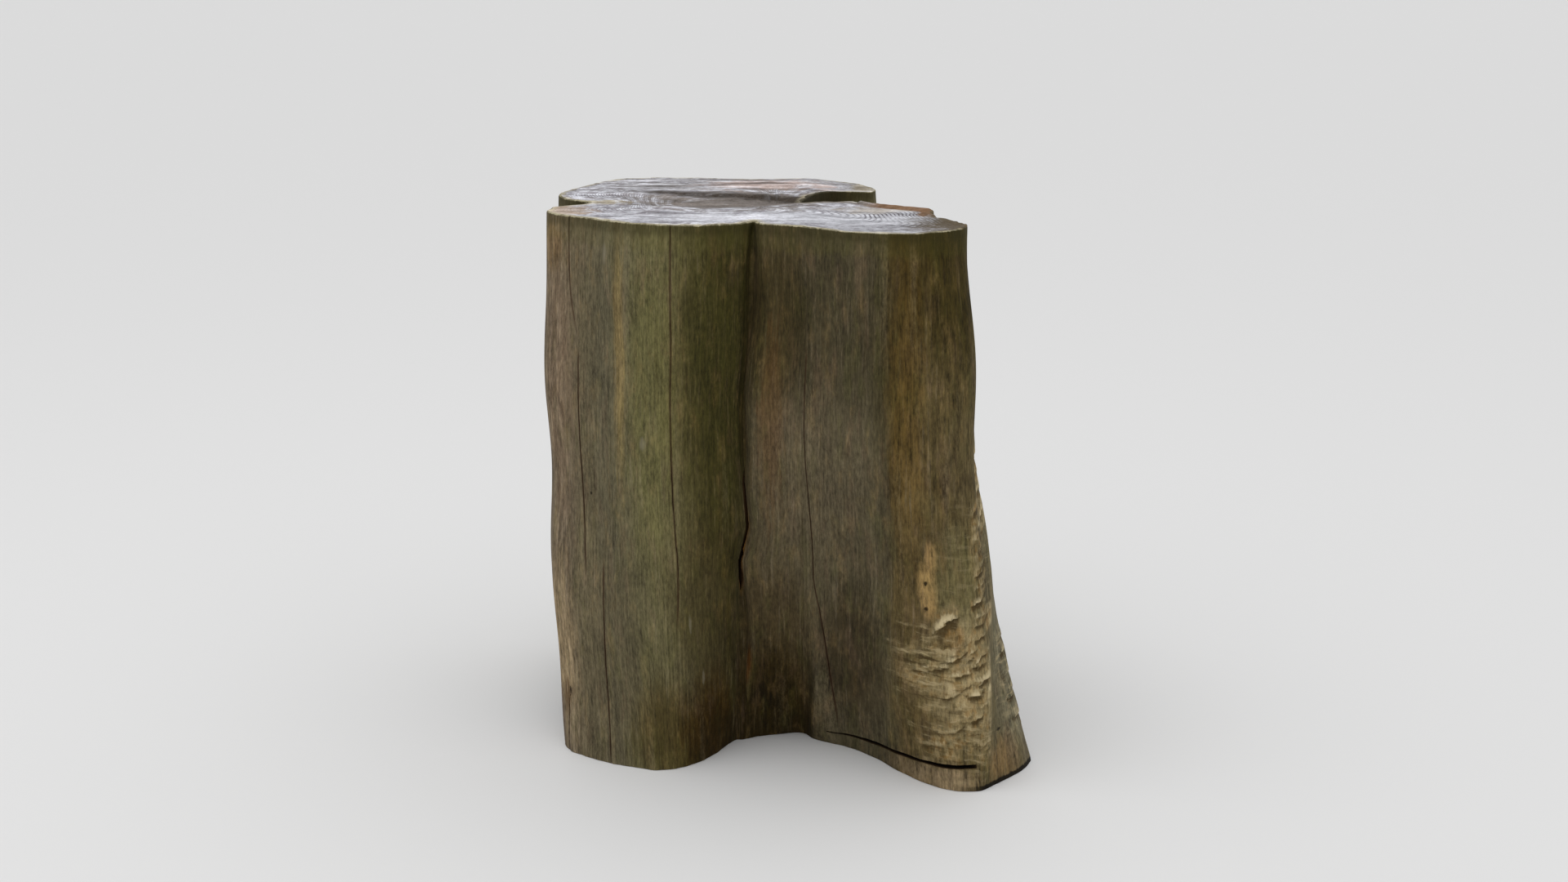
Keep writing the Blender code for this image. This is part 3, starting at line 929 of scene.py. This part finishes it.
# Stains of the side: line, height, half width in lines, half height, colour, strength
SIDE_STAINS = {
    "ochre stripe": (-6.05, 0.46, 0.30, 0.19, (142, 122, 78), 0.62),
    "ochre corner": (-9.2, 0.585, 1.1, 0.045, (126, 100, 60), 0.60),
    "yellow algae": (-5.0, 0.43, 1.1, 0.25, (102, 98, 58), 0.60),
    "green algae": (-2.6, 0.46, 1.8, 0.26, (60, 58, 26), 0.70),
    "green by the seam": (-0.9, 0.50, 0.9, 0.30, (46, 42, 14), 0.75),
    "dark right of the seam": (0.9, 0.52, 0.8, 0.14, (56, 48, 26), 0.75),
    "green under the rim": (10.0, 0.57, 3.0, 0.10, (58, 50, 18), 0.65),
    "dark top right": (4.0, 0.52, 4.6, 0.16, (60, 53, 34), 0.60),
    "pale middle right": (3.6, 0.34, 3.4, 0.14, (98, 88, 68), 0.55),
    "grey low": (-6.6, 0.12, 1.6, 0.18, (84, 76, 56), 0.50),
    "pinkish left": (-8.7, 0.42, 0.9, 0.20, (120, 100, 80), 0.50),
    "tan left foot": (-8.80, 0.13, 0.90, 0.13, (156, 136, 102), 0.62),
    "ragged foot": (-8.7, 0.066, 0.34, 0.030, (84, 62, 36), 0.75),
    "grey green low": (-3.4, 0.15, 1.5, 0.17, (76, 68, 52), 0.50),
    "purple sliver": (-9.4, 0.04, 0.5, 0.05, (92, 78, 70), 0.75),
    "left foot": (-4.8, 0.05, 1.6, 0.08, (70, 60, 36), 0.75),
    "orange foot": (-2.9, 0.03, 1.9, 0.10, (64, 44, 3), 0.85),
    "flute head": (1.8, 0.15, 2.8, 0.10, (70, 57, 34), 0.60),
    # The dark crease and the dark flute darken the hollow at the foot of the seam: painted shade over the
    # wood's own dark brown
    "dark crease": (-0.4, 0.02, 1.8, 0.15, (40, 29, 6), 0.85),
    "dark flute": (2.2, 0.01, 2.8, 0.16, (42, 31, 3), 0.90),
    "knot": (1.5, 0.058, 0.6, 0.022, (24, 20, 12), 0.50),
    "seam stain": (0.0, 0.256, 0.80, 0.072, (118, 78, 26), 0.85),
    "crease stain": (0.7, 0.100, 0.5, 0.035, (84, 50, 12), 0.75),
    "rusty grain": (1.9, 0.40, 0.8, 0.15, (102, 76, 48), 0.50),
    "dark lower right": (5.4, 0.13, 1.6, 0.12, (54, 45, 28), 0.80),
    "water line": (9.4, 0.344, 2.6, 0.014, (62, 50, 28), 0.55),
    "tan patch": (8.22, 0.233, 0.44, 0.034, (158, 130, 82), 0.95),
    "tan patch top": (8.38, 0.262, 0.34, 0.026, (152, 124, 78), 0.90),
    "tan patch foot": (8.30, 0.212, 0.38, 0.026, (154, 126, 80), 0.90),
    "ochre right": (7.6, 0.42, 0.9, 0.22, (104, 82, 44), 0.50),
    "worn right": (10.0, 0.36, 1.5, 0.10, (94, 82, 56), 0.45),
    "ridge tan": (10.4, 0.265, 0.45, 0.045, (150, 128, 84), 0.60),
    "pale foot": (8.6, 0.010, 2.4, 0.024, (136, 118, 90), 0.80),
    "brown foot": (12.2, 0.025, 1.5, 0.035, (122, 98, 62), 0.75),
    "hewn glow": (9.8, 0.130, 2.1, 0.100, (166, 148, 108), 0.62),
    "green above the notch": (9.6, 0.235, 1.6, 0.070, (112, 104, 70), 0.55),
    "notch recess": (9.1, 0.176, 0.75, 0.020, (126, 92, 46), 0.75),
    "bleached back": (-20.5, 0.36, 2.6, 0.26, (116, 106, 84), 0.60),
    "ochre back": (-17.5, 0.22, 1.4, 0.20, (118, 96, 60), 0.55),
    "green back": (-25.5, 0.30, 2.6, 0.34, (70, 72, 36), 0.65),
    "pale back foot": (-24.5, 0.08, 1.3, 0.08, (128, 112, 82), 0.50),
    "ochre side": (18.0, 0.34, 1.3, 0.26, (110, 90, 56), 0.55),
    "green side": (16.2, 0.52, 1.4, 0.14, (70, 70, 38), 0.60),
    "bleached left": (-15.0, 0.34, 1.8, 0.26, (112, 102, 80), 0.50),
    "grey flank": (13.4, 0.13, 1.8, 0.16, (116, 110, 88), 0.75),
}
SOFT_STAINS = {
    *("yellow algae", "green algae", "green by the seam", "dark right of the seam", "dark top right"),
    *("pale middle right", "dark crease", "dark flute", "flute head", "seam stain", "crease stain"),
    *("orange foot", "left foot", "dark lower right", "grey flank"),
}
SOFT_EDGE = 0.30
# Darker places of the side, painted shade in the fold left of the seam, the hollow, the bay, the cleft, the
# back flute and at the feet, darker tones elsewhere: line, height, half width in lines, half height, how much
# light is left
SHADES = {
    "green": (-2.8, 0.46, 2.2, 0.30, 0.76),
    "green low": (-2.8, 0.19, 2.2, 0.17, 0.80),
    "left of the seam": (-0.7, 0.50, 1.0, 0.28, 0.80),
    "right of the seam": (1.9, 0.52, 2.4, 0.13, 0.74),
    "ochre top": (7.2, 0.50, 1.2, 0.24, 0.76),
    "top right": (9.6, 0.56, 2.9, 0.12, 0.74),
    "rim right": (9.0, 0.61, 3.4, 0.03, 0.66),
    "hollow": (2.1, 0.02, 2.4, 0.16, 0.78),
    "edge of the hollow": (3.75, 0.03, 0.34, 0.14, 0.60),
    "orange foot": (-2.8, 0.00, 1.9, 0.10, 0.48),
    "left foot": (-4.8, 0.02, 1.8, 0.10, 0.82),
    "water mark at the back": (-19.0, 0.52, 1.2, 0.16, 0.66),
    "back foot": (-21.0, 0.00, 9.0, 0.08, 0.62),
    "back flute": (-23.0, 0.30, 1.4, 0.30, 0.74),
    "bay": (24.5, 0.30, 3.0, 0.60, 0.62),
    "cleft": (-12.8, 0.30, 1.0, 0.60, 0.60),
}
# Close horizontal nicks of the hatchet, painted as a highlight on each crest and shade in each groove: line,
# height, half width in lines, half height, strength
NICK_PITCH = 0.0062
NICKED = {
    "left gouges": (7.95, 0.147, 1.5, 0.052, 0.80),
    "hewn side": (9.3, 0.110, 2.6, 0.110, 0.50),
    "above the kerf": (9.9, 0.050, 2.3, 0.055, 0.40),
    "up the flank": (13.2, 0.115, 1.5, 0.080, 0.60),
    "up the ridge": (11.7, 0.300, 1.1, 0.150, 0.40),
    "over the notch": (9.8, 0.260, 2.2, 0.090, 0.18),
}
# Flaky places of the side: line, height, half width in lines, half height, strength
FLAKY = {
    "left strip": (-9.4, 0.40, 1.6, 0.42, 1.0),
    "right lobe": (9.0, 0.42, 3.6, 0.28, 2.2),
    "root foot": (9.8, 0.03, 4.4, 0.05, 2.8),
    "flank": (13.6, 0.14, 1.8, 0.18, 2.4),
    "left foot": (-8.2, 0.08, 1.5, 0.14, 1.8),
}
FINE_CRACKS = ("crack_long", "crack_left", "crack_left_low", "crack_foot", "crack_right")
# Small holes, painted as dark shade, and pale scars of the side: line, height, half width in lines, half
# height
HOLES = [
    *[(-8.52, 0.072, 0.07, 0.008), (8.17, 0.234, 0.09, 0.0035), (8.17, 0.206, 0.11, 0.0028)],
    *[(-7.3, 0.31, 0.06, 0.003), (12.0, 0.060, 0.22, 0.0025)],
]
SCARS = [
    *[(-6.6, 0.583, 0.10, 0.016), (-5.25, 0.376, 0.14, 0.010)],
    *[(-3.8, 0.170, 0.07, 0.014), (-3.4, 0.102, 0.06, 0.012)],
]
BAY_LINES = (20.2, 21.2, 28.2, 29.0)  # the bay's walls: start, full, fade and end

# Marks of the top: x, y, half width, half depth, colour, strength
TOP_STAINS = {
    "heart": (-0.065, 0.020, 0.175, 0.125, (124, 117, 112), 0.80),
    "heart brown": (-0.050, 0.020, 0.150, 0.085, (106, 96, 87), 0.62),
    "grey back": (0.0, 0.215, 0.300, 0.120, (132, 129, 128), 0.50),
    "checks": (0.008, 0.034, 0.024, 0.030, (60, 54, 48), 0.80),
    "front band": (0.0, -0.135, 0.240, 0.052, (214, 215, 222), 0.55),
    "pink": (-0.030, 0.175, 0.110, 0.070, (206, 176, 162), 0.50),
    "back grey": (-0.150, 0.160, 0.090, 0.060, (160, 158, 160), 0.50),
    "brown end": (-0.262, -0.075, 0.050, 0.080, (168, 146, 124), 0.75),
    "notch edge": (-0.215, 0.005, 0.040, 0.030, (172, 160, 132), 0.70),
    "back corner": (0.092, 0.170, 0.026, 0.055, (150, 138, 112), 0.75),
    "beige by the lip": (0.090, -0.050, 0.050, 0.040, (186, 174, 156), 0.50),
}
# The brown lip and the broken tip, as the other marks
BROKEN = {
    "lip": (0.134, -0.020, 0.028, 0.030, (134, 104, 76), 0.90),
    "lip end": (0.158, -0.080, 0.016, 0.046, (122, 92, 66), 0.95),
    "broken tip": (0.190, -0.174, 0.082, 0.134, (86, 75, 58), 0.96),
}


def side_colour(finish, grain, place, marks):
    """Bands round the trunk, stains in their places, mottling and streaks along the grain, and painted shade
    and highlights in the fold, the hollows, the bay, the hewn marks and at the foot.
    """
    over, between, span, drawn = finish.over, finish.between, finish.span, finish.drawn
    line, height = finish.part(place, "X"), finish.part(grain, "Z")
    where = finish.combined(line, height)
    broad = drawn(grain, 0.16, 45.0, 4.0, 0.6)
    blotch = drawn(grain, 0.30, 84.0, 5.0, 0.68)
    smudge = drawn(grain, 0.55, 30.0, 4.0, 0.6)
    tint_drift = finish.noise(finish.stretched(grain, (1.3, 1.3, 0.30)), 60.0, 4.0, 0.62)
    streaks = drawn(grain, 0.05, 330.0, 5.0, 0.70)
    fibres = drawn(grain, 0.05, 520.0, 3.0, 0.7)
    grit = drawn(grain, 0.32, 380.0, 4.0, 0.72)
    flakes = drawn(grain, 0.16, 190.0, 4.0, 0.72)
    patches = drawn(grain, 0.7, 130.0, 3.0, 0.6)
    stops = [((at + COUNT / 2) / COUNT, paint(*tint)) for at, tint in SIDE_COLOURS]
    wandering = (line + (broad - 0.5) * 1.6 + COUNT / 2) / COUNT
    colour = finish.node("ShaderNodeValToRGB", {"stops": stops}, {"Fac": wandering})
    ragged = (blotch - 0.5) * 1.5 + (streaks - 0.5) * 1.1
    for name, (at_line, at_height, wide, tall, tint, strength) in SIDE_STAINS.items():
        edge_noise = ragged * SOFT_EDGE if name in SOFT_STAINS else ragged
        mask = finish.patch(where, (at_line, at_height), (wide, tall), edge_noise)
        colour = over(colour, mask * strength, tint)
    # Painted shade along the seam's fold
    from_seam = (line + (streaks - 0.5) * 0.5).math("ABSOLUTE")
    fold = between(from_seam, 0.42, 0.05) * span(height, 0.13, 0.20, 0.50, 0.60)
    colour = over(colour, fold * 0.20, (58, 43, 16))
    dashes = 0.20 + 0.35 * span(line, -12.0, -11.0, -8.6, -8.0)
    at_left = span(line, -12.0, -11.0, -8.5, -7.9) * 0.28
    washes = [
        (blotch, 0.50, 0.68, 0.14, (128, 102, 62)),
        (tint_drift, 0.52, 0.66, 0.22, (76, 76, 38)),
        (tint_drift, 0.46, 0.34, 0.22, (104, 84, 66)),
        (streaks, 0.52, 0.76, dashes, (158, 142, 118)),
        (flakes, 0.50, 0.62, at_left, (150, 134, 110)),
        (flakes, 0.48, 0.36, at_left, (66, 54, 38)),
        (streaks, 0.47, 0.26, 0.36, (44, 36, 20)),
    ]
    colour = finish.washed(colour, washes)
    for mask, (left,) in finish.ovals(where, SHADES.values(), ragged * 0.3):
        colour = finish.mix(mask, colour, paint_share(left), "MULTIPLY")
    flaky = sum(mask * strength for mask, (strength,) in finish.ovals(where, FLAKY.values(), ragged * 0.5))
    shade = 1.0 + (fibres - 0.5) * 1.4 + (grit - 0.5) * 1.9 + (blotch - 0.5) * 0.4 + (smudge - 0.5) * 1.0
    colour = finish.tinted(colour, shade + (flakes - 0.5) * flaky)
    colour = hewn_colour(finish, colour, line, marks, blotch, patches, grit)
    level = (height + line * 0.0012 + (patches - 0.5) * 0.006) / NICK_PITCH
    nicks = finish.noise(finish.combined(line * 0.9, level), 1.0, 3.0, 0.6)
    for mask, (strength,) in finish.ovals(where, NICKED.values(), ragged * 0.8):
        share = mask * strength
        # Painted highlight on the crest and painted shade in the groove of each nick
        cut = [(nicks, 0.52, 0.68, share, (164, 148, 112)), (nicks, 0.47, 0.33, share, (62, 49, 26))]
        colour = finish.washed(colour, cut)
    # Fine cracks: brown lines, partly painted shade of the cracks
    for name in FINE_CRACKS:
        colour = over(colour, crack_line(finish, name, line, height) * 0.60, (58, 36, 22))
    # Holes are painted shade; scars are pale wood
    for spots, tint, strength in ((HOLES, (24, 17, 8), 0.9), (SCARS, (150, 142, 122), 0.30)):
        for mask, _ in finish.ovals(where, spots, (grit - 0.5) * 1.5):
            colour = over(colour, mask * strength, tint)
    # Painted contact shadow: a near-black band along the foot of the right lobe and flank, where the base
    # meets the floor
    contact_shadow = between(height + (grit - 0.5) * 0.004, 0.0065, 0.0040) * span(line, 8.8, 10.8, 15.0, 17.0)
    colour = over(colour, contact_shadow * 0.96, (15, 11, 5))
    # Painted shade on the walls of the bay
    in_bay = span(line, *BAY_LINES)
    colour = over(colour, in_bay * 0.75, (42, 36, 18))
    under_rim = height + (grit - 0.5) * 0.008 + (blotch - 0.5) * 0.026
    rim_bands = [
        (under_rim, HEIGHT - 0.034, HEIGHT - 0.024, (1.0 - in_bay) * 0.18, (88, 84, 38)),
        (under_rim, HEIGHT - 0.016, HEIGHT - 0.008, 0.42, (42, 38, 16)),
    ]
    colour = finish.washed(colour, rim_bands)
    crest = between(height + (grit - 0.5) * 0.0030, HEIGHT - 0.0018, HEIGHT - 0.0008)
    crest = crest * (0.30 + 0.60 * between(blotch, 0.42, 0.58)) * (1.0 - 0.85 * in_bay)
    broken = span(line, 10.2, 11.2, 19.5, 20.5)
    rim_tint = finish.mix(broken, paint(172, 164, 136), paint(104, 88, 64))
    return finish.mix(crest, colour, rim_tint), streaks, fibres


def crack_line(finish, name, line, height):
    """The brown line along a fine crack down the side: partly painted shade of the crack beside its cut,
    partly the brown of its edges.
    """
    path = smooth_path(CRACKS[name][0])[::-1]
    lowest, highest = path[0, 1], path[-1, 1]
    shares = np.linspace(0.0, 1.0, CRACK_STEPS)
    lines = np.interp(shares * HEIGHT, path[:, 1], path[:, 0])
    curve = [(float(h), float(a + COUNT / 2) / COUNT) for h, a in zip(shares, lines)]
    run = finish.node("ShaderNodeFloatCurve", {"curve": curve}, {"Value": height / HEIGHT})
    aside = (line - (run * COUNT - COUNT / 2)).math("ABSOLUTE")
    along = finish.span(height, lowest, lowest + 0.03, highest - 0.02, highest)
    return finish.between(aside, 0.055, 0.018) * along


def hewn_colour(finish, colour, line, marks, blotch, patches, grit):
    """Fresher, paler wood where the hatchet went, with painted highlights on the crests and painted shade in
    the hollows.
    """
    between = finish.between
    hewn, cavity = finish.part(marks, "Y"), finish.part(marks, "Z")
    fresh = finish.mix(between(blotch, 0.36, 0.62), paint(92, 80, 50), paint(160, 140, 100))
    mottling = [(patches, 0.54, 0.62, 0.6, (132, 98, 50)), (patches, 0.44, 0.36, 0.5, (112, 108, 84))]
    fresh = finish.tinted(finish.washed(fresh, mottling), 1.0 + (grit - 0.5) * 2.0)
    worked = between(hewn + (blotch - 0.5) * 1.1 + (patches - 0.5) * 0.9, 0.05, 1.05)
    colour = finish.mix(worked * 0.62 * between(line, 13.2, 12.2), colour, fresh)
    # Painted highlights on the crests of the hatchet marks and painted shade in their hollows
    crests = (cavity + (grit - 0.5) * 1.2, 0.20, 0.90, 0.08 + 0.80 * hewn, (200, 184, 146))
    hollows = (cavity + (grit - 0.5) * 0.5, -0.10, -0.90, 0.35 + 0.45 * hewn, (58, 44, 20))
    return finish.washed(colour, [crests, hollows])


def top_colour(finish, grain, place, marks, depths):
    """Silvered end grain: rings, a brown sunken heart, stains, a cream rim and painted shade at the rim over
    the bay.
    """
    over, between = finish.over, finish.between
    line, ring, edge = finish.part(place, "X"), finish.part(place, "Y"), finish.part(marks, "X")
    x, y = finish.part(grain, "X"), finish.part(grain, "Y")
    cloud = finish.noise(grain, 26.0, 4.0, 0.6)
    patchy = finish.noise(grain, 85.0, 5.0, 0.72)
    grit = finish.noise(grain, 280.0, 4.0, 0.75)
    strong = between(finish.noise(grain, 13.0, 3.0, 0.5), 0.36, 0.60)
    bands = finish.noise(finish.combined(ring * 0.28, x * 6.0, y * 6.0), 1.0, 5.0, 0.68)
    saw = finish.noise(finish.combined(x * 9.0, y * 44.0), 1.0, 5.0, 0.66)
    uneven = ring + (cloud - 0.5) * 1.3 + (patchy - 0.5) * 0.25
    late = (0.5 + 0.5 * (uneven * (2.0 * math.pi)).math("SINE")) ** 2.5
    clear = finish.patch(grain, (0.115, -0.140), (0.15, 0.15), (cloud - 0.5) * 0.8)
    colour = finish.mix(between(patchy, 0.40, 0.60), paint(150, 146, 152), paint(206, 207, 214))
    silver = [(bands, 0.52, 0.66, 0.75, (228, 230, 238)), (bands, 0.48, 0.34, 0.75, (98, 91, 94))]
    colour = over(finish.washed(colour, silver), clear * 0.60, (168, 169, 174))
    colour = over(colour, late * (0.18 + 0.45 * strong + 0.37 * clear), (84, 80, 86))
    ragged = (cloud - 0.5) * 1.6 + (patchy - 0.5) * 0.9 + (bands - 0.5) * 1.3
    spot = finish.combined(x - TO_MIDDLE[0], y - TO_MIDDLE[1])
    for mask, (tint, strength) in finish.ovals(spot, TOP_STAINS.values(), ragged):
        colour = over(colour, mask * strength, tint)
    in_bay = finish.span(line, *BAY_LINES)
    behind = between(y, 0.05, 0.13)
    shake = finish.part(depths, "Y") + (patchy - 0.5) * 0.8 + (bands - 0.5) * 1.6
    cream = (0.25 + 0.45 * between(cloud, 0.42, 0.58)) * (1.0 - 0.9 * in_bay)
    broken_edge = edge + (patchy - 0.5) * 0.010
    on_lip = finish.span(y, LIP_END - 0.004, LIP_END + 0.008, 0.010, 0.030) * between(x, 0.085, 0.110)
    washes = [
        (shake, 0.20, 0.75, 0.85, (54, 45, 35)),
        (edge + (grit - 0.5) * 0.006, 0.0085, 0.0020, cream, (190, 181, 152)),
        # Painted shade on the top's rim over the bay, so the bay's dark wall reads taller
        (broken_edge, 0.0050, 0.0010, in_bay * 0.85, (60, 52, 34)),
        (broken_edge, 0.018, 0.011, on_lip * 0.95, (116, 87, 62)),
        (saw, 0.50, 0.38, behind * 0.45, (112, 100, 90)),
        (saw, 0.54, 0.64, behind * 0.45, (214, 214, 220)),
    ]
    colour = finish.washed(colour, washes)
    lit = 0.99 - 0.05 * behind + (grit - 0.5) * 1.3 + (patchy - 0.5) * 0.7
    colour = finish.tinted(colour, lit + (saw - 0.5) * (2.4 + 0.8 * behind))
    for mask, (tint, strength) in finish.ovals(spot, BROKEN.values(), (patchy - 0.5) * 1.0):
        gritty = finish.tinted(paint(*tint)[:3], 1.0 + (grit - 0.5) * 1.4)
        colour = finish.mix(mask * strength, colour, gritty)
    return colour, late, grit


def weathered_wood():
    finish = Finish("weathered wood")
    grain, place = finish.attribute("grain"), finish.attribute("place")
    marks, depths = finish.attribute("marks"), finish.attribute("depths")
    zone, deep = finish.part(place, "Z"), finish.part(depths, "X")
    on_top = finish.between(zone, 0.4, 0.6)
    on_base = finish.between(zone, -0.4, -0.6)
    side, streaks, fibres = side_colour(finish, grain, place, marks)
    top, late, grit = top_colour(finish, grain, place, marks, depths)
    colour = finish.mix(on_top, side, top)
    colour = finish.mix(on_base, colour, finish.mix(0.75, top, paint(110, 88, 58), "MULTIPLY"))
    # Painted shade inside the cracks, the seam's split and the saw kerf: their walls turn dark brown with
    # depth under the uncut wood, near black deepest in and browner by the seam
    colour = finish.over(colour, finish.between(deep, 0.0003, 0.0020) * 0.85, (58, 37, 20))
    shade_in_cracks = finish.between(deep, 0.0020, 0.0055)
    by_seam = finish.between(finish.part(place, "X").math("ABSOLUTE"), 1.0, 0.6)
    colour = finish.mix(shade_in_cracks * 0.85, colour, finish.mix(by_seam, paint(18, 13, 6), paint(46, 29, 10)))
    finish.set(finish.shader, "Base Color", colour)
    finish.set(finish.shader, "Roughness", 0.78 + 0.18 * fibres)
    height = finish.mix(on_top + on_base, streaks * 1.0 + fibres * 0.7, late * -0.5 + grit * 0.9)
    bump = finish.node("ShaderNodeBump", {}, {"Strength": 0.6, "Distance": 0.0014, "Height": height}, 0)
    finish.set(finish.shader, "Normal", bump)
    finish.shader.inputs["Specular IOR Level"].default_value = 0.12
    return finish.material


def floor_finish():
    finish = Finish("pale floor")
    finish.shader.inputs["Base Color"].default_value = paint(222, 222, 222)
    finish.shader.inputs["Roughness"].default_value = 0.9
    finish.shader.inputs["Specular IOR Level"].default_value = 0.1
    return finish.material


def make_floor():
    half = FLOOR_SIZE / 2.0
    corners = [(-half, -half, -0.0005), (half, -half, -0.0005), (half, half, -0.0005), (-half, half, -0.0005)]
    floor = make_object("pale_floor", corners, [[0, 1, 2, 3]])
    floor.data.materials.append(floor_finish())


def add_area_light(name, place, aim, size, power):
    data = bpy.data.lights.new(name, "AREA")
    data.shape = "DISK"
    data.size = size
    data.energy = power
    light = bpy.data.objects.new(name, data)
    light.location = place
    light.rotation_mode = "QUATERNION"
    light.rotation_quaternion = (Vector(aim) - Vector(place)).to_track_quat("-Z", "Y")
    bpy.context.scene.collection.objects.link(light)


def make_light():
    world = bpy.data.worlds.new("soft daylight")
    world.use_nodes = True
    backdrop = world.node_tree.nodes["Background"]
    backdrop.inputs["Color"].default_value = (1.0, 1.0, 1.0, 1.0)
    backdrop.inputs["Strength"].default_value = 0.96
    bpy.context.scene.world = world
    add_area_light("overhead", (-0.6, -0.9, 3.2), (0.0, 0.0, 0.5), 1.8, 14.0)
    bpy.context.scene.view_settings.view_transform = "Standard"


def make_camera():
    data = bpy.data.cameras.new("camera")
    data.lens = LENS
    data.sensor_width = SENSOR
    camera = bpy.data.objects.new("camera", data)
    camera.location = CAMERA_PLACE
    camera.rotation_euler = (math.pi / 2.0 - CAMERA_PITCH, 0.0, 0.0)
    bpy.context.scene.collection.objects.link(camera)
    bpy.context.scene.camera = camera


make_camera()
make_light()
make_floor()
make_stump()
